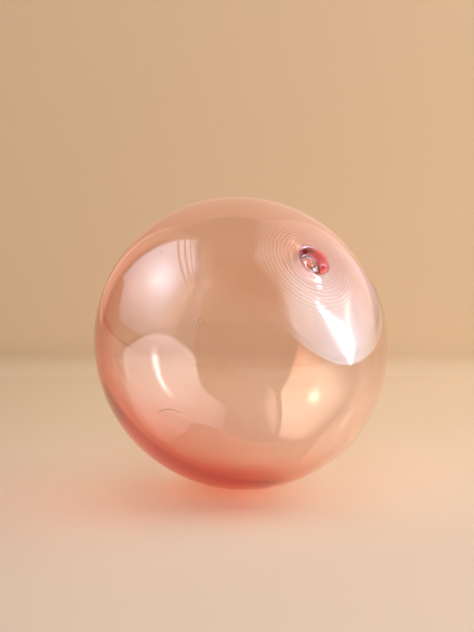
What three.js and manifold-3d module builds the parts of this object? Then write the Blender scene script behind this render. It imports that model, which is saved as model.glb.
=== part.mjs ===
// A hand-blown glass sphere, sealed where it came off the blowpipe.
//
// Millimetres, +Z up. The origin is the middle of the underside, on the small
// ground flat that keeps the ball from rolling.
//
// The body is one piece of glass. It is a little flat along the line through
// the seal, as a blown ball is: the glass sinks towards the pipe as it cools.
// That line, the seal axis, leans towards the front (-Y), the right (+X) and
// up. The seal itself is a small well with a rounded lip, a twisted nub of
// glass in the middle of its floor, and soft rings in the skin around it. The
// ball is sealed, so it is one solid here.

import * as THREE from 'three';
import { mergeVertices } from 'three/addons/utils/BufferGeometryUtils.js';
import Module from 'manifold-3d';

// ---- driving dimensions, mm and degrees -----------------------------------
const EQUATOR_R = 50.0;      // radius square to the seal axis: 100 mm across
const POLE_SEAL = 47.0;      // centre to the skin at the sealed end
const POLE_FAR = 48.5;       // centre to the skin at the thick, far end
const SEAL_AZIMUTH = 42.5;   // from the front (-Y) towards the right (+X)
const SEAL_ELEVATION = 43.9; // above the horizontal

const WELL_TOP_R = 5.7;      // where the skin turns down into the seal's well
const WELL_FLOOR_R = 3.5;    // where the wall of the well meets its floor
const WELL_DEPTH = 2.5;      // lip to floor
const LIP_R = 6.2;           // crest of the fire-polished lip
const LIP_H = 0.22;          // how far the lip stands proud
const LIP_W = 0.95;          // its half width
const NUB_R = 1.45;          // the twisted nub left by the shears
const NUB_H = 1.25;
const RING_FIRST = 8.6;      // soft rings drawn round the seal: first radius,
const RING_PITCH = 2.3;      // spacing,
const RING_COUNT = 4;        // how many,
const RING_H = 0.07;         // and height, falling away outwards

const FLAT_DEPTH = 0.6;      // ground off the underside

const AROUND = 72;           // facets round the seal axis
const BODY_STEPS = 38;       // rings of facets from the far pole to the seal
const SEAL_STEPS = 16;       // rings of facets across the seal

// ---- the seal's profile ----------------------------------------------------
const smooth = (u) => {
  const t = Math.min(1, Math.max(0, u));
  return t * t * (3 - 2 * t);
};

// height of the seal's relief over the plain skin at the distance r from its axis
function sealRelief(r) {
  const wall = smooth((WELL_TOP_R - r) / (WELL_TOP_R - WELL_FLOOR_R));
  const lip = LIP_H * Math.exp(-(((r - LIP_R) / LIP_W) ** 2));
  const nub = NUB_H * Math.exp(-((r / NUB_R) ** 4));
  let rings = 0;
  for (let k = 0; k < RING_COUNT; k += 1) {
    const at = RING_FIRST + k * RING_PITCH;
    rings += (RING_H / (k + 1)) * Math.exp(-(((r - at) / (0.3 * RING_PITCH)) ** 2));
  }
  return -WELL_DEPTH * wall + lip + nub + rings;
}

// ---- the body's profile, from the far pole to the middle of the seal ------
const half = (POLE_SEAL + POLE_FAR) / 2;
const lean = (POLE_SEAL - POLE_FAR) / 2;
// polar angle t from the sealed pole: 0 at the seal, PI at the far pole
const skin = (t) => new THREE.Vector2(
  EQUATOR_R * Math.sin(t),
  (half + lean * Math.cos(t)) * Math.cos(t),
);

const SEAL_EDGE_R = LIP_R + 1.4 * LIP_W;          // where the fine rings start
const sealEdgeT = Math.asin(SEAL_EDGE_R / EQUATOR_R);

const profile = [];
for (let i = 0; i <= BODY_STEPS; i += 1) {
  const t = Math.PI + (sealEdgeT - Math.PI) * (i / BODY_STEPS);
  const p = skin(t);
  if (i === 0) p.x = 0;
  if (t < Math.PI / 2) p.y += sealRelief(p.x);
  profile.push(p);
}
for (let i = 1; i <= SEAL_STEPS; i += 1) {
  const r = SEAL_EDGE_R * (1 - i / SEAL_STEPS);
  const p = skin(Math.asin(r / EQUATOR_R));
  profile.push(new THREE.Vector2(i === SEAL_STEPS ? 0 : r, p.y + sealRelief(r)));
}

// ---- closed, outward-facing solids ----------------------------------------
const wasm = await Module();
wasm.setup();

function solidOf(geometry) {
  const g = geometry.clone();
  for (const name of Object.keys(g.attributes)) {
    if (name !== 'position') g.deleteAttribute(name);
  }
  const m = mergeVertices(g, 1e-4);
  const xyz = m.attributes.position.array;
  const index = m.index.array;
  const kept = [];
  let volume = 0;
  for (let i = 0; i < index.length; i += 3) {
    const [a, b, c] = [index[i], index[i + 1], index[i + 2]];
    if (a === b || b === c || c === a) continue;   // slivers at the poles
    kept.push(a, b, c);
    const [A, B, C] = [a, b, c].map((k) => new THREE.Vector3().fromArray(xyz, 3 * k));
    volume += A.dot(B.cross(C)) / 6;
  }
  if (volume < 0) {
    for (let i = 0; i < kept.length; i += 3) {
      [kept[i + 1], kept[i + 2]] = [kept[i + 2], kept[i + 1]];
    }
  }
  return new wasm.Manifold(new wasm.Mesh({
    numProp: 3,
    vertProperties: new Float32Array(xyz),
    triVerts: new Uint32Array(kept),
  }));
}

function geometryOf(solid) {
  const mesh = solid.getMesh();
  const g = new THREE.BufferGeometry();
  g.setAttribute('position', new THREE.BufferAttribute(new Float32Array(mesh.vertProperties), 3));
  g.setIndex(new THREE.BufferAttribute(new Uint32Array(mesh.triVerts), 1));
  g.computeVertexNormals();
  g.computeBoundingBox();
  return g;
}

// ---- turn the seal to where it lies, and grind the flat --------------------
const az = THREE.MathUtils.degToRad(SEAL_AZIMUTH);
const el = THREE.MathUtils.degToRad(SEAL_ELEVATION);
const sealAxis = new THREE.Vector3(
  Math.sin(az) * Math.cos(el),
  -Math.cos(az) * Math.cos(el),
  Math.sin(el),
);

const blown = new THREE.LatheGeometry(profile, AROUND);
blown.applyQuaternion(
  new THREE.Quaternion().setFromUnitVectors(new THREE.Vector3(0, 1, 0), sealAxis),
);
blown.computeBoundingBox();
const low = blown.boundingBox.min;
const high = blown.boundingBox.max;
blown.translate(-(low.x + high.x) / 2, -(low.y + high.y) / 2, -low.z - FLAT_DEPTH);

const BLOCK = 4 * EQUATOR_R;
const grinder = new THREE.BoxGeometry(BLOCK, BLOCK, BLOCK);
grinder.translate(0, 0, -BLOCK / 2);

const ball = solidOf(blown).subtract(solidOf(grinder));

// ---- the object ------------------------------------------------------------
const pinkGlass = new THREE.MeshStandardMaterial({
  name: 'pink_glass',
  color: new THREE.Color(0.93, 0.6, 0.52),
  roughness: 0.03,
  metalness: 0.0,
  transparent: true,
  opacity: 0.45,
});

const glassSphere = new THREE.Mesh(geometryOf(ball), pinkGlass);
glassSphere.name = 'glass_sphere';

const group = new THREE.Group();
group.add(glassSphere);

export default group;
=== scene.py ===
"""The looks of a hand-blown pink glass ball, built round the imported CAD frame.

Metres, +Z up, the origin in the middle of the small ground flat under the ball.
The ball is one closed shell of glass: an outer skin, and a cavity skin that
faces inwards, with true wall thickness, a well where it was sealed, a plug of
thick glass behind the well and a few seeds (tiny bubbles) in the wall.
"""

import math

import bmesh
import bpy
import numpy as np
from mathutils import Matrix, Vector


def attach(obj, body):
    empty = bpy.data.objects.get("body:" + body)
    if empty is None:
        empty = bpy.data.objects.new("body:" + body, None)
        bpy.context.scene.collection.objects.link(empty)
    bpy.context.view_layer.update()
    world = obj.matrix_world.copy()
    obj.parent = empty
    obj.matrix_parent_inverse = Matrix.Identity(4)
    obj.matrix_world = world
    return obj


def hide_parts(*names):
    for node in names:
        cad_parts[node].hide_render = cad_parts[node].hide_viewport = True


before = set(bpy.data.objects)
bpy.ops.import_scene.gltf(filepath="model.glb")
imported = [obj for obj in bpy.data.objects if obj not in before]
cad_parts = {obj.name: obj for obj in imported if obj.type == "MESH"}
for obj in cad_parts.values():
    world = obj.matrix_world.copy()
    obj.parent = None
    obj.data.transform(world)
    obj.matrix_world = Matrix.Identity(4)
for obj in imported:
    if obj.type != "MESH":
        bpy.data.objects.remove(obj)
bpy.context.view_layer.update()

MM = 0.001

# ---- the ball's outer form, the same figures as the CAD model --------------
EQUATOR_R = 50.0
POLE_SEAL = 47.0
POLE_FAR = 48.5
SEAL_AZIMUTH = math.radians(42.5)
SEAL_ELEVATION = math.radians(43.9)
WELL_TOP_R = 5.7
WELL_FLOOR_R = 3.5
WELL_DEPTH = 2.5
LIP_R = 6.2
LIP_H = 0.22
LIP_W = 0.95
NUB_R = 1.45
NUB_H = 1.25
RING_FIRST = 8.6
RING_PITCH = 2.3
RING_COUNT = 4
RING_H = 0.07
FLAT_DEPTH = 0.6

# ---- what only the looks need ----------------------------------------------
WALL_THIN = 0.9      # the blown wall, round its rim as the main camera sees it
WALL_TAPER = 0.25    # the part of it gained in front and lost behind: a guess, not
                     # seen, chosen so that the rim stays clear from the main camera
POOL_EXTRA = 3.2     # what it gains low on the left, where the hot glass pooled
POOL_TURN = 118.0    # the middle of the pool, in degrees clockwise from the right
POOL_LEFT = 56.0     # how far round it thins away up the left side
POOL_RIGHT = 62.0    # and up the right side
# The main camera's line of sight, from the ball towards it. The pool, the taper, the stain
# and the painted rim shade are laid out about this line, because only this side was seen.
# They are fixed to the glass, and don't follow the camera.
LOOK = np.array([0.0, -0.974, 0.225])
LOOK_UP = np.array([0.0, 0.225, 0.974])
SHOULDER_EXTRA = 0.4  # and round the seal, where it was gathered in
SHOULDER_R = 12.0
PLUG_DEPTH = 2.2     # how far the plug behind the well stands into the cavity
PLUG_R = 12.0
PLUG_POWER = 2.0
PLUG_ASIDE = 1.6     # the plug sits off the middle, up and to the right
FINE_RING_PITCH = 1.25   # fine lines left by the turning pipe, round the seal
FINE_RING_H = 0.008
FINE_RING_R = 12.5       # where they are strongest, and how far they spread
FINE_RING_SPREAD = 6.0
WAVE_H = 0.07        # slow unevenness of the skin
MELTED = 0.5         # how much of the soft rings is left, and
LIP_MELTED = 0.16    # how far the lip is melted down, where the flame was
AROUND = 256



def smooth(u):
    t = np.clip(u, 0.0, 1.0)
    return t * t * (3 - 2 * t)


def seal_relief(r, left=1.0):
    wall = smooth((WELL_TOP_R - r) / (WELL_TOP_R - WELL_FLOOR_R))
    lip = LIP_H * np.exp(-(((r - LIP_R) / LIP_W) ** 2))
    nub = NUB_H * np.exp(-((r / NUB_R) ** 4))
    rings = 0.0
    for k in range(RING_COUNT):
        at = RING_FIRST + k * RING_PITCH
        rings = rings + left * (RING_H / (k + 1)) * np.exp(
            -(((r - at) / (0.3 * RING_PITCH)) ** 2)
        )
    return -WELL_DEPTH * wall + lip + nub + rings


HALF = (POLE_SEAL + POLE_FAR) / 2
LEAN = (POLE_SEAL - POLE_FAR) / 2

seal_axis = np.array(
    [
        math.sin(SEAL_AZIMUTH) * math.cos(SEAL_ELEVATION),
        -math.cos(SEAL_AZIMUTH) * math.cos(SEAL_ELEVATION),
        math.sin(SEAL_ELEVATION),
    ]
)
# two directions square to the seal axis: e1 leans towards the front
e1 = np.array([0.0, -1.0, 0.0])
e1 = e1 - seal_axis * (e1 @ seal_axis)
e1 /= np.linalg.norm(e1)
e2 = np.cross(seal_axis, e1)
# the side of the seal that lies up and to the right
PLUG_SIDE = np.array([0.60, 0.20, 0.77])
PLUG_SIDE = PLUG_SIDE - seal_axis * (PLUG_SIDE @ seal_axis)
PLUG_SIDE /= np.linalg.norm(PLUG_SIDE)


def skin(t):
    """Distance from the axis and height along it, of the plain skin, in mm."""
    return EQUATOR_R * np.sin(t), (HALF + LEAN * np.cos(t)) * np.cos(t)


def turned(r, h, phi):
    """Points at distance r from the seal axis and height h along it."""
    c, s = np.cos(phi), np.sin(phi)
    return (
        h[..., None] * seal_axis
        + (r * c)[..., None] * e1
        + (r * s)[..., None] * e2
    )


rng = np.random.default_rng(7)


def make_waves(count, low_k, high_k):
    k = rng.normal(size=(count, 3))
    k /= np.linalg.norm(k, axis=1)[:, None]
    k *= rng.uniform(low_k, high_k, size=(count, 1))
    return k, rng.uniform(0, 2 * math.pi, size=count)


OUTER_WAVES = make_waves(14, 4.0, 9.0)
INNER_WAVES = make_waves(18, 5.0, 13.0)
FILM_WAVES = make_waves(12, 3.0, 8.0)
FILM_THIN = 60.0
FILM_GOLD = 44.0
FILM_UNEVEN = 10.0
GOLD_SIDE = np.array([0.81, 0.30, -0.50])
# the stain: how deep it is for one crossing, against green; then a painted rim shade, a
# deeper red round the rim that the main camera sees, in degrees clockwise from the right,
# and from that rim (0) towards the camera (90)
STAIN_THIN = 0.112
# painted rim shade: its greatest depth, and where it lies round and across the rim
PAINTED_RIM_SHADE = 0.72
STAIN_AND_SHADE_COLOUR = np.array([0.16, 1.0, 1.36])
PAINTED_RIM_SHADE_ROUND = [(46, 0.0), (70, 0.32), (85, 0.95), (102, 1.5), (122, 1.2), (140, 0.95),
               (165, 0.78), (190, 0.48), (215, 0.35), (250, 0.0)]
PAINTED_RIM_SHADE_BAND = [(-24, 0.0), (-4, 0.5), (13, 0.6), (19, 1.5), (25, 1.5), (31, 1.05), (42, 0.1),
              (60, 0.0)]
# bubbles in the wall: direction from the centre, how far out, half the thickness and
# half the width in mm
SEEDS = [((-0.2633, -0.8999, 0.3475), 48.45, 0.27, 0.65),
         ((-0.5198, -0.4856, 0.7029), 48.86, 0.22, 0.27)]
# and one drawn out into a hair, along these directions
HAIR = [(-0.531, -0.803, -0.271), (-0.510, -0.821, -0.2576), (-0.471, -0.852, -0.230),
        (-0.414, -0.879, -0.235), (-0.370, -0.895, -0.250)]
HAIR_AT = 49.3
HAIR_R = 0.13
# the seal's ruby: partly the glass's own colour, partly painted shade on the far wall of the well
SEAL_STAIN_AND_SHADE = 2.7
SEAL_STAIN_AND_SHADE_COLOUR = np.array([0.46, 1.10, 1.06])
LINE_STAIN = 0.15


def wave(direction, waves):
    """Smooth unevenness between about -1 and 1, over the unit directions."""
    k, phase = waves
    return np.cos(direction @ k.T + phase).sum(-1) / math.sqrt(2 * len(phase))


def fine_lines(r, phi):
    """The fine drawn lines round the seal, between about -1 and 1."""
    lines = np.cos(2 * math.pi * r / FINE_RING_PITCH + 0.9 * np.cos(phi + 0.6))
    lines = lines + 0.6 * np.cos(2 * math.pi * r / (0.61 * FINE_RING_PITCH) - 1.3 * np.cos(phi))
    band = np.exp(-(((r - FINE_RING_R) / FINE_RING_SPREAD) ** 2)) * smooth((r - LIP_R - 0.6) / 1.5)
    return lines * band


def outer_point(t, phi):
    r, h = skin(t)
    front = t < math.pi / 2
    d = turned(r, h, phi)
    d = d / np.linalg.norm(d, axis=-1)[..., None]
    away = smooth((r - WELL_TOP_R) / 12.0)
    away = np.where(front, away, 1.0)
    uneven = WAVE_H * wave(d, OUTER_WAVES) * away
    fold = 0.26 * np.cos(2 * phi - 1.9 * r + 0.8) * np.exp(-(((r - 2.5) / 1.0) ** 2))
    fold = fold + 0.16 * np.cos(3 * phi + 2.6 * r) * np.exp(-(((r - 3.6) / 1.1) ** 2))
    fold = fold + 0.05 * np.cos(5 * phi - 1.0) * np.exp(-(((r - 5.6) / 0.9) ** 2))
    fold = fold - 0.35 * np.exp(-((r / 0.75) ** 2))
    fold = fold - LIP_MELTED * np.exp(-(((r - LIP_R) / LIP_W) ** 2))
    h = h + np.where(front, seal_relief(r, MELTED) + fold + FINE_RING_H * fine_lines(r, phi), 0.0)
    return turned(r, h, phi) + d * uneven[..., None]


def wall_at(t, phi):
    r, h = skin(t)
    d = turned(r, h, phi)
    d = d / np.linalg.norm(d, axis=-1)[..., None]
    turn = np.degrees(np.arctan2(-(d @ LOOK_UP), d[..., 0])) - POOL_TURN
    turn = (turn + 180.0) % 360.0 - 180.0
    turn = np.where(turn > 0, turn / POOL_LEFT, -turn / POOL_RIGHT)
    forward = np.degrees(np.arcsin(np.clip(d @ LOOK, -1, 1)))
    pool = 0.5 * (1 + np.cos(np.pi * np.clip(turn, 0, 1)))
    pool = pool * smooth((80.0 - forward) / 46.0) * smooth((forward + 30.0) / 35.0)
    # even near the rim as the main camera sees it, less so elsewhere
    ripple = 0.02 + 0.12 * smooth((np.abs(forward) - 25.0) / 25.0)
    # and it thins a little from the front to the back
    taper = WALL_TAPER * (2 * smooth((forward + 24.0) / 48.0) - 1)
    w = WALL_THIN * (1 + taper + ripple * wave(d, INNER_WAVES)) + POOL_EXTRA * pool
    front = t < math.pi / 2
    # the plug's middle, moved over within the plane square to the seal axis
    aside = turned(r, 0 * h, phi) - PLUG_ASIDE * PLUG_SIDE
    off = np.linalg.norm(aside, axis=-1)
    plug = np.where(front, np.exp(-((off / PLUG_R) ** PLUG_POWER)), 0.0)
    shoulder = np.where(front, np.exp(-((r / SHOULDER_R) ** 2)), 0.0)
    return w + PLUG_DEPTH * plug + SHOULDER_EXTRA * shoulder


def inner_point(t, phi):
    r, h = skin(t)
    # outward normal of the plain skin
    dt = 1e-4
    r2, h2 = skin(t + dt)
    tr, th = (r2 - r) / dt, (h2 - h) / dt
    ln = np.sqrt(tr * tr + th * th)
    nr, nh = -th / ln, tr / ln
    flip = np.where(nr * r + nh * h < 0, -1.0, 1.0)
    nr, nh = nr * flip, nh * flip
    w = wall_at(t, phi)
    d = turned(r, h, phi)
    d = d / np.linalg.norm(d, axis=-1)[..., None]
    uneven = WAVE_H * wave(d, OUTER_WAVES) * np.where(
        t < math.pi / 2, smooth((r - WELL_TOP_R) / 12.0), 1.0
    )
    r, h = r - nr * w, h - nh * w
    return turned(r, h, phi) + d * uneven[..., None]


# where the CAD model puts the ball: centred on the origin, with the flat at z = 0
tt, pp = np.meshgrid(
    np.linspace(0, math.pi, 721), np.linspace(0, 2 * math.pi, 721), indexing="ij"
)
plain_r, plain_h = skin(tt)
plain_h = plain_h + np.where(tt < math.pi / 2, seal_relief(plain_r), 0.0)
cloud = turned(plain_r, plain_h, pp).reshape(-1, 3)
low, high = cloud.min(0), cloud.max(0)
shift = np.array(
    [-(low[0] + high[0]) / 2, -(low[1] + high[1]) / 2, -low[2] - FLAT_DEPTH]
)
print("centre of the ball", shift)


def rows(spans):
    """Polar angles: spans of (to radius or angle, step)."""
    out = [0.0]
    for to, step in spans:
        n = max(1, int(math.ceil((to - out[-1]) / step)))
        out += list(np.linspace(out[-1], to, n + 1)[1:])
    return np.array(out)


def at_r(r):
    return math.asin(r / EQUATOR_R)


def grid(point, ts, around, flip):
    """Closed surface of revolution-like grid: two pole points and rings between."""
    phis = np.arange(around) * (2 * math.pi / around)
    t, p = np.meshgrid(ts[1:-1], phis, indexing="ij")
    mid = point(t, p)
    first = point(np.array([1e-7]), np.array([0.0]))[0]
    last = point(np.array([math.pi - 1e-7]), np.array([0.0]))[0]
    verts = [first] + [v for v in mid.reshape(-1, 3)] + [last]
    n = len(ts) - 2
    faces = []
    for j in range(around):
        k = (j + 1) % around
        faces.append((0, 1 + j, 1 + k))
        end = 1 + n * around
        faces.append((end, 1 + (n - 1) * around + k, 1 + (n - 1) * around + j))
    for i in range(n - 1):
        a, b = 1 + i * around, 1 + (i + 1) * around
        for j in range(around):
            k = (j + 1) % around
            faces.append((a + j, b + j, b + k, a + k))
    if flip:
        faces = [f[::-1] for f in faces]
    return verts, faces


def mesh_from(name, verts, faces):
    me = bpy.data.meshes.new(name)
    me.from_pydata([tuple((np.array(v) + shift) * MM) for v in verts], [], faces)
    me.validate()
    me.update()
    return me


def signed_volume(me):
    bm = bmesh.new()
    bm.from_mesh(me)
    v = bm.calc_volume(signed=True)
    bm.free()
    return v


FINE = math.radians(0.23)
ts_outer = rows(
    [(at_r(8.0), FINE), (at_r(21.0), math.radians(0.3)), (math.pi, math.radians(1.5))]
)
ts_inner = rows([(at_r(14.0), math.radians(0.6)), (math.pi, math.radians(1.5))])

v, f = grid(outer_point, ts_outer, AROUND, False)
outer = mesh_from("outer", v, f)
if signed_volume(outer) < 0:
    outer.flip_normals()
v, f = grid(inner_point, ts_inner, AROUND, False)
inner = mesh_from("inner", v, f)
if signed_volume(inner) > 0:
    inner.flip_normals()

# the ground flat, its edge worn round: no point of the outer skin is under z = 0
EDGE = 0.12 * MM
lowest = min(v.co.z for v in outer.vertices)
sunk = 0.5 * (lowest + math.sqrt(lowest**2 + EDGE**2))
for v in outer.vertices:
    v.co.z = 0.5 * (v.co.z + math.sqrt(v.co.z**2 + EDGE**2)) - sunk



def lustre_at(d):
    """Thickness of the lustre in nanometres: thin and bluish over most of the
    ball, thicker and gold low on the right."""
    gold = smooth((d @ GOLD_SIDE - 0.25) / 0.5)
    return FILM_THIN + FILM_GOLD * gold + FILM_UNEVEN * wave(d, FILM_WAVES)


def curve(x, points):
    """Smooth steps through (x, value) points, held level outside them."""
    xs, ys = np.array(points, float).T
    out = np.full(np.shape(x), ys[0])
    for k in range(len(xs) - 1):
        out = out + (ys[k + 1] - ys[k]) * smooth((x - xs[k]) / (xs[k + 1] - xs[k]))
    return out


def stain_and_shade_at(d):
    """The pink stain in the skin, and painted shade at the rim and the seal, as the colour light
    keeps after two crossings.
    """
    turn = (np.degrees(np.arctan2(-(d @ LOOK_UP), d[:, 0])) + 360.0) % 360.0
    forward = np.degrees(np.arcsin(np.clip(d @ LOOK, -1, 1)))
    # painted shade: a deeper red in a band round the rim that the main camera sees, strongest low on
    # the left, standing in for the longer path through the glass there
    low = curve(turn, PAINTED_RIM_SHADE_ROUND)
    band = curve(forward, PAINTED_RIM_SHADE_BAND)
    thin = 1 - 0.35 * smooth((d @ GOLD_SIDE - 0.25) / 0.5)
    stain_and_rim_shade_depth = STAIN_THIN * thin + PAINTED_RIM_SHADE * low * band
    # the drawn lines round the seal hold a little more of it, and a little less
    along = d @ seal_axis
    across = d - along[:, None] * seal_axis
    r = np.linalg.norm(across, axis=1) * EQUATOR_R
    phi = np.arctan2(across @ e2, across @ e1)
    stain_and_rim_shade_depth = stain_and_rim_shade_depth + LINE_STAIN * np.where(along > 0, fine_lines(r, phi), 0.0)
    # and the far side of the seal's well is ruby: partly the glass's own colour, partly painted
    # shade where one looks along the thick plug
    side = (across @ PLUG_SIDE) * EQUATOR_R / np.maximum(r, 1e-6)
    floor = np.exp(-((r / 3.2) ** 4)) * 0.28
    wall = np.exp(-(((r - 4.5) / 1.5) ** 4)) * (0.45 + 0.55 * smooth((side + 0.3) / 0.9))
    seal_stain_and_shade = SEAL_STAIN_AND_SHADE * np.where(along > 0, np.maximum(floor, wall), 0.0)
    colour = np.exp(
        -2.0 * (stain_and_rim_shade_depth[:, None] * STAIN_AND_SHADE_COLOUR + seal_stain_and_shade[:, None] * SEAL_STAIN_AND_SHADE_COLOUR)
    )
    return np.concatenate([colour, np.ones((len(d), 1))], axis=1)


bm = bmesh.new()
bm.from_mesh(outer)
outer_count = len(bm.verts)


def hollow(points, faces):
    """Add a bubble: a closed surface that faces inwards, its points in mm."""
    verts = [bm.verts.new([float(c) * MM for c in np.array(p) + shift]) for p in points]
    new = [bm.faces.new([verts[k] for k in f]) for f in faces]
    bmesh.ops.recalc_face_normals(bm, faces=new)
    bmesh.ops.reverse_faces(bm, faces=new)


def seed(at, far, half_thick, half_wide, steps=10, around=20):
    """A lens-shaped bubble in the wall, flattened as the ball was blown."""
    at = np.array(at, float)
    at /= np.linalg.norm(at)
    u = np.cross(at, (0.0, 0.0, 1.0))
    u /= np.linalg.norm(u)
    v = np.cross(at, u)
    points = [at * (far + half_thick)]
    for i in range(1, steps):
        a = math.pi * i / steps
        for j in range(around):
            b = 2 * math.pi * j / around
            points.append(at * (far + half_thick * math.cos(a)) + half_wide * math.sin(a) * (
                u * math.cos(b) + v * math.sin(b)))
    points.append(at * (far - half_thick))
    closed(points, steps - 1, around)


def hair(path, far, radius, around=10):
    """A bubble drawn out into a hair along a path of directions."""
    path = np.array(path, float)
    ends = np.linspace(0, len(path) - 1, 33)
    way = np.array([[np.interp(s, range(len(path)), path[:, k]) for k in range(3)] for s in ends])
    for _ in range(12):
        way[1:-1] = 0.25 * way[:-2] + 0.5 * way[1:-1] + 0.25 * way[2:]
    way /= np.linalg.norm(way, axis=1)[:, None]
    points = [way[0] * far]
    for k in range(1, len(way) - 1):
        ahead = way[k + 1] - way[k - 1]
        ahead /= np.linalg.norm(ahead)
        side = np.cross(way[k], ahead)
        thick = radius * math.sin(math.pi * k / (len(way) - 1)) ** 0.5
        for j in range(around):
            b = 2 * math.pi * j / around
            points.append(way[k] * (far + thick * math.cos(b)) + side * thick * math.sin(b))
    points.append(way[-1] * far)
    closed(points, len(way) - 2, around)


def closed(points, rings, around):
    """Skin a start point, rings of points and an end point, as a bubble."""
    end = 1 + rings * around
    faces = [(0, 1 + j, 1 + (j + 1) % around) for j in range(around)]
    faces += [(end, end - around + (j + 1) % around, end - around + j) for j in range(around)]
    for i in range(rings - 1):
        a, b = 1 + i * around, 1 + (i + 1) * around
        faces += [(a + j, b + j, b + (j + 1) % around, a + (j + 1) % around) for j in range(around)]
    hollow(points, faces)


directions = np.array([v.co[:] for v in bm.verts]) / MM - shift
directions = directions / np.linalg.norm(directions, axis=1)[:, None]
bm.from_mesh(inner)
for at, far, half_thick, half_wide in SEEDS:
    seed(at, far, half_thick, half_wide)
hair(HAIR, HAIR_AT, HAIR_R)
for face in bm.faces:
    face.smooth = True
shell = bpy.data.meshes.new("glass_ball")
bm.to_mesh(shell)
glass_cm3 = bm.calc_volume(signed=True) * 1e6
bm.free()
# the skin of the cavity comes after the outer one, and carries no lustre, stain or painted shade
thickness = np.zeros(len(shell.vertices))
thickness[:outer_count] = lustre_at(directions)
layer = shell.attributes.new("lustre", "FLOAT", "POINT")
layer.data.foreach_set("value", thickness.astype(np.float32))
stain_and_shade_colour = np.ones((len(shell.vertices), 4))
stain_and_shade_colour[:outer_count] = stain_and_shade_at(directions)
layer = shell.attributes.new("stain_and_shade", "FLOAT_COLOR", "POINT")
layer.data.foreach_set("color", stain_and_shade_colour.astype(np.float32).ravel())
print(
    "triangles",
    sum(len(p.vertices) - 2 for p in shell.polygons),
    "glass volume cm3",
    round(glass_cm3, 2),
    "mass g",
    round(glass_cm3 * 2.5, 1),
)
ball = bpy.data.objects.new("glass_ball", shell)
bpy.context.scene.collection.objects.link(ball)
for me in (outer, inner):
    bpy.data.meshes.remove(me)


# ---- materials --------------------------------------------------------------
class Maths:
    """Short names for the maths nodes of one node tree."""

    def __init__(self, nt):
        self.nt = nt

    def op(self, kind, *values):
        node = self.nt.nodes.new("ShaderNodeMath")
        node.operation = kind
        for socket, value in zip(node.inputs, values):
            if isinstance(value, (int, float)):
                socket.default_value = value
            else:
                self.nt.links.new(value, socket)
        return node.outputs[0]

    def ramp(self, value, low, high, to_low=0.0, to_high=1.0, kind="SMOOTHSTEP"):
        node = self.nt.nodes.new("ShaderNodeMapRange")
        node.interpolation_type = kind
        self.nt.links.new(value, node.inputs["Value"])
        for name, number in (
            ("From Min", low), ("From Max", high), ("To Min", to_low), ("To Max", to_high)
        ):
            node.inputs[name].default_value = number
        return node.outputs["Result"]

    def noise(self, scale, detail=2.0, rough=0.5, vector=None):
        node = self.nt.nodes.new("ShaderNodeTexNoise")
        node.inputs["Scale"].default_value = scale
        node.inputs["Detail"].default_value = detail
        node.inputs["Roughness"].default_value = rough
        if vector is None:
            vector = self.nt.nodes.new("ShaderNodeTexCoord").outputs["Object"]
        self.nt.links.new(vector, node.inputs["Vector"])
        return node.outputs["Fac"]


def new_material(name):
    m = bpy.data.materials.new(name)
    m.use_nodes = True
    nt = m.node_tree
    return m, nt, nt.nodes["Principled BSDF"], nt.nodes["Material Output"]


glass, nt, bsdf, out = new_material("pink_lustre_glass")
maths = Maths(nt)
# this tints the glass with its stain and with the painted shade of the rim and the seal
stain_and_shade = nt.nodes.new("ShaderNodeAttribute")
stain_and_shade.attribute_name = "stain_and_shade"
nt.links.new(stain_and_shade.outputs["Color"], bsdf.inputs["Base Color"])
bsdf.inputs["Transmission Weight"].default_value = 1.0
bsdf.inputs["Roughness"].default_value = 0.0
bsdf.inputs["IOR"].default_value = 1.48
absorb = nt.nodes.new("ShaderNodeVolumeAbsorption")
absorb.inputs["Color"].default_value = (0.94, 0.24, 0.05, 1)
absorb.inputs["Density"].default_value = 85.0
nt.links.new(absorb.outputs["Volume"], out.inputs["Volume"])
# the lustre is a thin film on the outer skin, uneven as it was fumed on
lustre = nt.nodes.new("ShaderNodeAttribute")
lustre.attribute_name = "lustre"
nt.links.new(lustre.outputs["Fac"], bsdf.inputs["Thin Film Thickness"])
bsdf.inputs["Thin Film IOR"].default_value = 1.85
shell.materials.append(glass)

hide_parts("glass_sphere")
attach(ball, "root")


# ---- the floor and the studio ----------------------------------------------
def plane(name, corners, colour, rough=0.9):
    me = bpy.data.meshes.new(name)
    me.from_pydata([tuple(c) for c in corners], [], [(0, 1, 2, 3)])
    ob = bpy.data.objects.new(name, me)
    bpy.context.scene.collection.objects.link(ob)
    m, nt, b, o = new_material(name)
    b.inputs["Base Color"].default_value = (*colour, 1)
    b.inputs["Roughness"].default_value = rough
    b.inputs["Specular IOR Level"].default_value = 0.1
    me.materials.append(m)
    return ob


FLOOR_Z = -0.0002
BACK_Y = 0.149
FLOOR_COLOUR = (0.72, 0.61, 0.50)
BACK_COLOUR = (0.78, 0.63, 0.445)
floor = plane(
    "floor",
    [(-3, -3, FLOOR_Z), (3, -3, FLOOR_Z), (3, 3, FLOOR_Z), (-3, 3, FLOOR_Z)],
    FLOOR_COLOUR,
)
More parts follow.
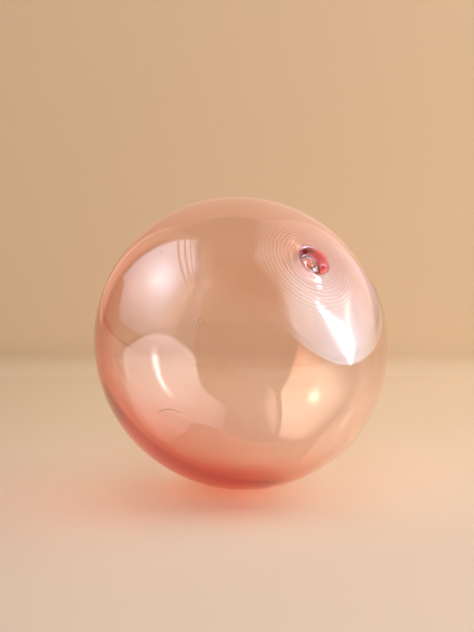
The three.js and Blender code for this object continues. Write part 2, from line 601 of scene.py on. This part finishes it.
# the backdrop card, with a small cove at its foot that runs out into the floor
COVE = 0.009
profile = [
    (BACK_Y - COVE * (1 - math.sin(a)), FLOOR_Z + 0.00005 + COVE * (1 - math.cos(a)))
    for a in (math.radians(9 * k) for k in range(11))
]
profile.append((BACK_Y, 0.30))
verts = [(x, y, z) for y, z in profile for x in (-0.1075, 0.118)]
faces = [(2 * k, 2 * k + 1, 2 * k + 3, 2 * k + 2) for k in range(len(profile) - 1)]
me = bpy.data.meshes.new("backdrop")
me.from_pydata(verts, [], faces)
for face in me.polygons:
    face.use_smooth = True
card = bpy.data.objects.new("backdrop", me)
bpy.context.scene.collection.objects.link(card)
m = floor.data.materials[0]
nt = m.node_tree
b = nt.nodes["Principled BSDF"]
maths = Maths(nt)
split = nt.nodes.new("ShaderNodeSeparateXYZ")
nt.links.new(nt.nodes.new("ShaderNodeNewGeometry").outputs["Position"], split.inputs[0])
mix = nt.nodes.new("ShaderNodeMix")
mix.data_type = "RGBA"
up = maths.ramp(split.outputs["Z"], 0.0, 0.012, 0.92, 1.0)
near = maths.ramp(split.outputs["Y"], -0.03, BACK_Y - 0.03)
nt.links.new(maths.op("MULTIPLY", up, near), mix.inputs["Factor"])
mix.inputs[6].default_value = (*FLOOR_COLOUR, 1)
mix.inputs[7].default_value = (*BACK_COLOUR, 1)
# painted light and shade: the colour of the floor and the card is multiplied by a grey that is
# lighter towards the right, darker at the card's foot and darker on the left of the floor
side = nt.nodes.new("ShaderNodeMix")
side.data_type, side.blend_type = "RGBA", "MULTIPLY"
side.inputs["Factor"].default_value = 1.0
# painted light: the floor and the card lighter towards the right, from 0.93 to 1.07
across = maths.ramp(split.outputs["X"], -0.11, 0.11, 0.93, 1.07, "LINEAR")
# painted shade: the floor darker where it runs into the card's foot, down to 0.93
foot = maths.op("MULTIPLY", maths.ramp(split.outputs["Y"], 0.0, 0.11),
                maths.ramp(split.outputs["Z"], 0.02, 0.0))
across = maths.op("MULTIPLY", across, maths.ramp(foot, 0.0, 1.0, 1.0, 0.93, "LINEAR"))
# painted shade: the floor darker on the left, down to 0.90
left = maths.op("MULTIPLY", maths.ramp(split.outputs["X"], -0.02, -0.13),
                maths.ramp(split.outputs["Z"], 0.02, 0.0))
across = maths.op("MULTIPLY", across, maths.ramp(left, 0.0, 1.0, 1.0, 0.90, "LINEAR"))
painted_light_and_shade = nt.nodes.new("ShaderNodeCombineColor")
for name in ("Red", "Green", "Blue"):
    nt.links.new(across, painted_light_and_shade.inputs[name])
nt.links.new(mix.outputs[2], side.inputs[6])
nt.links.new(painted_light_and_shade.outputs[0], side.inputs[7])
nt.links.new(side.outputs[2], b.inputs["Base Color"])
me.materials.append(m)
# the card stands between the lights and nothing
card.visible_shadow = False

world = bpy.data.worlds.new("studio")
bpy.context.scene.world = world
world.use_nodes = True
bg = world.node_tree.nodes["Background"]
bg.inputs["Color"].default_value = (0.46, 0.335, 0.25, 1)
bg.inputs["Strength"].default_value = 1.0


def new_light(name, centre, normal, size_x, size_z, colour, radiance=1.0, seen_by=("diffuse",)):
    """A flat light facing along normal, seen only by the named kinds of ray."""
    li = bpy.data.lights.new(name, "AREA")
    li.shape = "RECTANGLE"
    li.size, li.size_y = size_x, size_z
    li.color = colour
    # a white area light of P watts and A square metres has the radiance P / (pi A)
    li.energy = radiance * math.pi * size_x * size_z
    ob = bpy.data.objects.new(name, li)
    ob.location = centre
    ob.rotation_euler = (-Vector(normal)).to_track_quat("Z", "Y").to_euler()
    ob.visible_diffuse = "diffuse" in seen_by
    ob.visible_glossy = "glossy" in seen_by
    ob.visible_transmission = "transmission" in seen_by
    bpy.context.scene.collection.objects.link(ob)
    return ob, li


def window(name, centre, normal, size_x, size_z, colour, seen_by, brightness, along="Y"):
    """A shaped window of light. brightness(maths, y, z) gives the nodes for its
    radiance at the depth y (or, facing the front, at x) and the height z."""
    ob, li = new_light(name, centre, normal, size_x, size_z, colour, 1.0, seen_by)
    li.use_nodes = True
    nt = li.node_tree
    emission = [n for n in nt.nodes if n.type == "EMISSION"][0]
    split = nt.nodes.new("ShaderNodeSeparateXYZ")
    nt.links.new(
        nt.nodes.new("ShaderNodeNewGeometry").outputs["Position"], split.inputs[0]
    )
    value = brightness(Maths(nt), split.outputs[along], split.outputs["Z"])
    nt.links.new(value, emission.inputs["Strength"])
    return ob


def power(m, v, p):
    return m.op("POWER", m.op("ABSOLUTE", v), p)


def bell(m, y, z, at_y, at_z, wide_y, wide_z):
    dy = m.op("DIVIDE", m.op("SUBTRACT", y, at_y), wide_y)
    dz = m.op("DIVIDE", m.op("SUBTRACT", z, at_z), wide_z)
    return m.op("EXPONENT", m.op("MULTIPLY", m.op(
        "ADD", m.op("MULTIPLY", dy, dy), m.op("MULTIPLY", dz, dz)), -1.0))


def pick(m, test, a, b):
    return m.op("ADD", m.op("MULTIPLY", test, a),
                m.op("MULTIPLY", m.op("SUBTRACT", 1.0, test), b))


def product(m, first, *rest):
    for value in rest:
        first = m.op("MULTIPLY", first, value)
    return first


def right_front(m, y, z):
    """What the outer skin mirrors on the right: a wide window, a bright streak."""
    square = m.op("MULTIPLY", y, y)
    foot = pick(m, m.op("LESS_THAN", y, 0.0), m.op("MULTIPLY", square, 1.95), 0.0)
    above = m.op("SUBTRACT", z, m.op("ADD", foot, 0.015))
    # its front edge is soft, and softer still higher up
    front = m.op("DIVIDE", m.op("SUBTRACT", y, -0.33), m.ramp(z, 0.25, 0.8, 0.13, 0.45))
    inside = m.op("MULTIPLY", m.ramp(above, 0.0, 0.006), m.ramp(front, 0.0, 1.0))
    level = m.ramp(y, -0.20, -0.08, 1.1, 1.9)
    level = m.op("MULTIPLY", level, m.ramp(y, -0.04, 0.20, 1.0, 0.20))
    level = m.op("MULTIPLY", level, m.ramp(z, 0.24, 0.55, 1.0, 0.22))
    lean = m.ramp(z, 0.02, 0.22, -0.022, -0.080)
    wide = m.op("MULTIPLY", m.ramp(z, 0.01, 0.07, 0.004, 0.029), m.ramp(z, 0.10, 0.21, 1.0, 0.32))
    aside = m.op("DIVIDE", m.op("SUBTRACT", y, lean), wide)
    bright = m.op("EXPONENT", m.op("MULTIPLY", power(m, aside, 2.2), -1.0))
    bright = product(m, bright, m.ramp(z, 0.25, 0.20), 5.5)
    arc = m.op("DIVIDE", m.op("SUBTRACT", y, m.ramp(z, 0.24, 0.31, -0.014, 0.02)), 0.016)
    arc = m.op("EXPONENT", m.op("MULTIPLY", power(m, arc, 2.2), -1.0))
    bright = m.op("ADD", bright, product(m, arc, m.ramp(z, 0.245, 0.26), m.ramp(z, 0.34, 0.31), 6.0))
    glow = m.op("MULTIPLY", bell(m, y, z, 0.0, 0.09, 0.05, 0.06), 0.8)
    level = m.op("ADD", level, m.op("ADD", bright, glow))
    return m.op("MULTIPLY", level, inside)


def right_inside(m, y, z):
    """The same window as the far wall mirrors it, upside down."""
    square = m.op("MULTIPLY", y, y)
    steep = m.op("MULTIPLY", product(m, square, square, square), 230.0)
    foot = m.op("ADD", m.op("MULTIPLY", square, 2.0), steep)
    foot = pick(m, m.op("LESS_THAN", y, 0.0), foot, 0.0)
    above = m.op("SUBTRACT", z, m.op("ADD", foot, 0.034))
    limit = m.op("SUBTRACT", y, m.op("ADD", 0.125, m.op("MULTIPLY", z, 1.05)))
    front = m.op("SUBTRACT", y, m.ramp(z, 0.20, 0.50, -0.255, -0.12))
    inside = product(m, m.ramp(above, 0.0, 0.008), m.ramp(front, -0.02, 0.03),
                     m.ramp(limit, 0.035, -0.02), m.ramp(y, 0.02, 0.22, 1.0, 0.80),
                     m.ramp(z, 0.95, 0.50, 0.35, 1.0))
    level = m.op("MULTIPLY", m.ramp(z, 0.26, 0.50, 2.6, 1.5), m.ramp(z, 0.05, 0.24, 1.0, 1.3))
    lean = m.ramp(z, 0.08, 0.28, -0.008, 0.085)
    aside = m.op("DIVIDE", m.op("SUBTRACT", y, lean), 0.017)
    bright = m.op("EXPONENT", m.op("MULTIPLY", power(m, aside, 2.0), -1.0))
    bright = product(m, bright, m.ramp(z, 0.30, 0.20), m.ramp(z, 0.05, 0.14), 9.0)
    return m.op("MULTIPLY", m.op("ADD", level, bright), inside)


def bar(m, y, z, at, slope, half, left=0.1):
    """1 away from a sloping dark bar, and left on it."""
    aside = m.op("ABSOLUTE", m.op("SUBTRACT", z, m.op("ADD", at, m.op("MULTIPLY", y, slope))))
    return m.ramp(aside, half * 0.7, half * 1.4, left, 1.0)


def left_front(m, y, z):
    """What the outer skin mirrors on the left: a glow and the bars above it."""
    foot = m.ramp(y, 0.08, 0.24, 0.105, 0.205)
    above = m.op("SUBTRACT", z, foot)
    inside = product(m, m.ramp(above, 0.0, 0.012), m.ramp(y, 0.34, 0.285))
    level = product(m, m.ramp(y, -0.34, -0.10), m.ramp(z, 0.08, 0.40, 0.10, 1.0), 1.10)
    level = m.op("ADD", level, m.op("MULTIPLY", bell(m, y, z, -0.03, 0.44, 0.14, 0.13), 1.6))
    level = product(m, level, bar(m, y, z, 0.675, 0.17, 0.016, 0.0),
                    bar(m, y, z, 0.78, 0.22, 0.020, 0.0), bar(m, y, z, 0.895, 0.26, 0.016, 0.0),
                    m.ramp(z, 1.15, 0.85))
    level = m.op("ADD", level, m.ramp(z, 1.6, 0.9, 0.0, 0.22))
    return m.op("MULTIPLY", level, inside)


def left_inside(m, y, z):
    """And as the far wall mirrors it."""
    edge = m.ramp(z, 0.30, 0.80, 0.22, 0.38)
    front = m.ramp(z, 0.74, 1.10, -0.36, -0.80)
    inside = product(m, m.ramp(m.op("SUBTRACT", y, edge), 0.16, -0.10),
                     m.ramp(m.op("SUBTRACT", y, front), -0.03, 0.04), m.ramp(z, 0.10, 0.27),
                     m.ramp(z, 2.30, 1.30))
    level = m.op("ADD", m.ramp(y, -0.05, 0.2, 3.1, 2.2),
                 m.op("MULTIPLY", bell(m, y, z, -0.02, 0.39, 0.055, 0.055), 6.0))
    level = m.op("MULTIPLY", level, bar(m, y, z, 1.10, 0.75, 0.10, 0.0))
    over = m.op("SUBTRACT", z, m.op("ADD", 1.10, m.op("MULTIPLY", y, 0.75)))
    level = product(m, level, m.ramp(over, 0.0, 0.12, 1.0, 0.45), m.ramp(y, -0.9, -0.3))
    return m.op("MULTIPLY", level, inside)


window("right_window", (0.26, 0.26, 0.6), (-1, 0, 0), 1.34, 1.2,
       (0.82, 1.0, 1.16), ("glossy",), right_front)
window("right_window_inside", (0.27, 0.0, 0.475), (-1, 0, 0), 1.3, 0.95,
       (0.92, 1.0, 1.04), ("transmission",), right_inside)
window("left_window", (-0.40, 0.0, 0.86), (1, 0, 0), 1.30, 1.7,
       (0.87, 0.95, 1.18), ("glossy",), left_front)
window("left_window_inside", (-0.41, -0.15, 1.16), (1, 0, 0), 1.60, 2.3,
       (1.0, 0.98, 0.86), ("transmission",), left_inside)


def fade(m, y, z):
    return product(m, m.ramp(y, 0.34, 0.50), m.ramp(z, 1.1, 0.3, 0.0, 0.75))


def sheen(m, x, z):
    """Light on the card that only the glancing skin of the glass picks up."""
    return product(m, m.ramp(x, -0.02, 0.07, 0.20, 0.50), m.ramp(z, 0.05, 0.10),
                   m.ramp(z, 0.42, 0.10))


# the room beyond the card, on both sides: only the glass sees it
window("beyond_left", (-0.42, 1.45, 0.6), (1, 0, 0), 2.2, 1.2,
       (0.72, 0.46, 0.30), ("glossy", "transmission"), fade)
window("beyond_right", (0.28, 1.95, 0.6), (-1, 0, 0), 2.0, 1.2,
       (0.78, 0.52, 0.36), ("glossy", "transmission"), lambda m, y, z: m.ramp(z, 1.1, 0.3, 0.0, 0.9))
window("sheen", (0.15, 0.1478, 0.35), (0, -1, 0), 0.55, 0.6,
       (0.95, 0.62, 0.70), ("glossy",), sheen, "X")
# soft light for the floor and the card, from both sides and above
new_light("soft_right", (0.75, -0.1, 0.6), (-1, 0.05, -0.25), 1.3, 1.1, (1, 1, 1), 1.35)
new_light("soft_left", (-1.0, -0.1, 0.7), (1, 0.05, -0.25), 1.6, 1.4, (1, 1, 1), 1.05)
new_light("soft_top", (0.0, -0.3, 1.3), (0, 0.1, -1), 1.2, 1.2, (1, 1, 1), 0.9)

# ---- the camera -------------------------------------------------------------
ELEVATION = math.radians(13.0)
DISTANCE = 0.5
FOCAL_PX = 1481.6
cam_data = bpy.data.cameras.new("camera")
cam = bpy.data.objects.new("camera", cam_data)
bpy.context.scene.collection.objects.link(cam)
cam_data.sensor_width = 36.0
cam_data.lens = FOCAL_PX / 632 * 36.0
middle = Vector(shift * MM)
toward = Vector((0, -math.cos(ELEVATION), math.sin(ELEVATION)))
cam.location = middle + toward * DISTANCE
f0 = -toward
r0 = f0.cross(Vector((0, 0, 1))).normalized()
u0 = r0.cross(f0)
aim = (f0 - r0 * (4.7 / FOCAL_PX) + u0 * (26.3 / FOCAL_PX)).normalized()
right = aim.cross(Vector((0, 0, 1))).normalized()
up = right.cross(aim)
cam.rotation_mode = "QUATERNION"
cam.rotation_quaternion = Matrix((right, up, -aim)).transposed().to_quaternion()
cam_data.clip_start, cam_data.clip_end = 0.01, 20
bpy.context.scene.camera = cam

scene = bpy.context.scene
scene.view_settings.view_transform = "Standard"
scene.cycles.max_bounces = 24
scene.cycles.glossy_bounces = 16
scene.cycles.transmission_bounces = 24
scene.cycles.diffuse_bounces = 4
scene.cycles.caustics_reflective = True
scene.cycles.caustics_refractive = True
scene.cycles.blur_glossy = 0.0
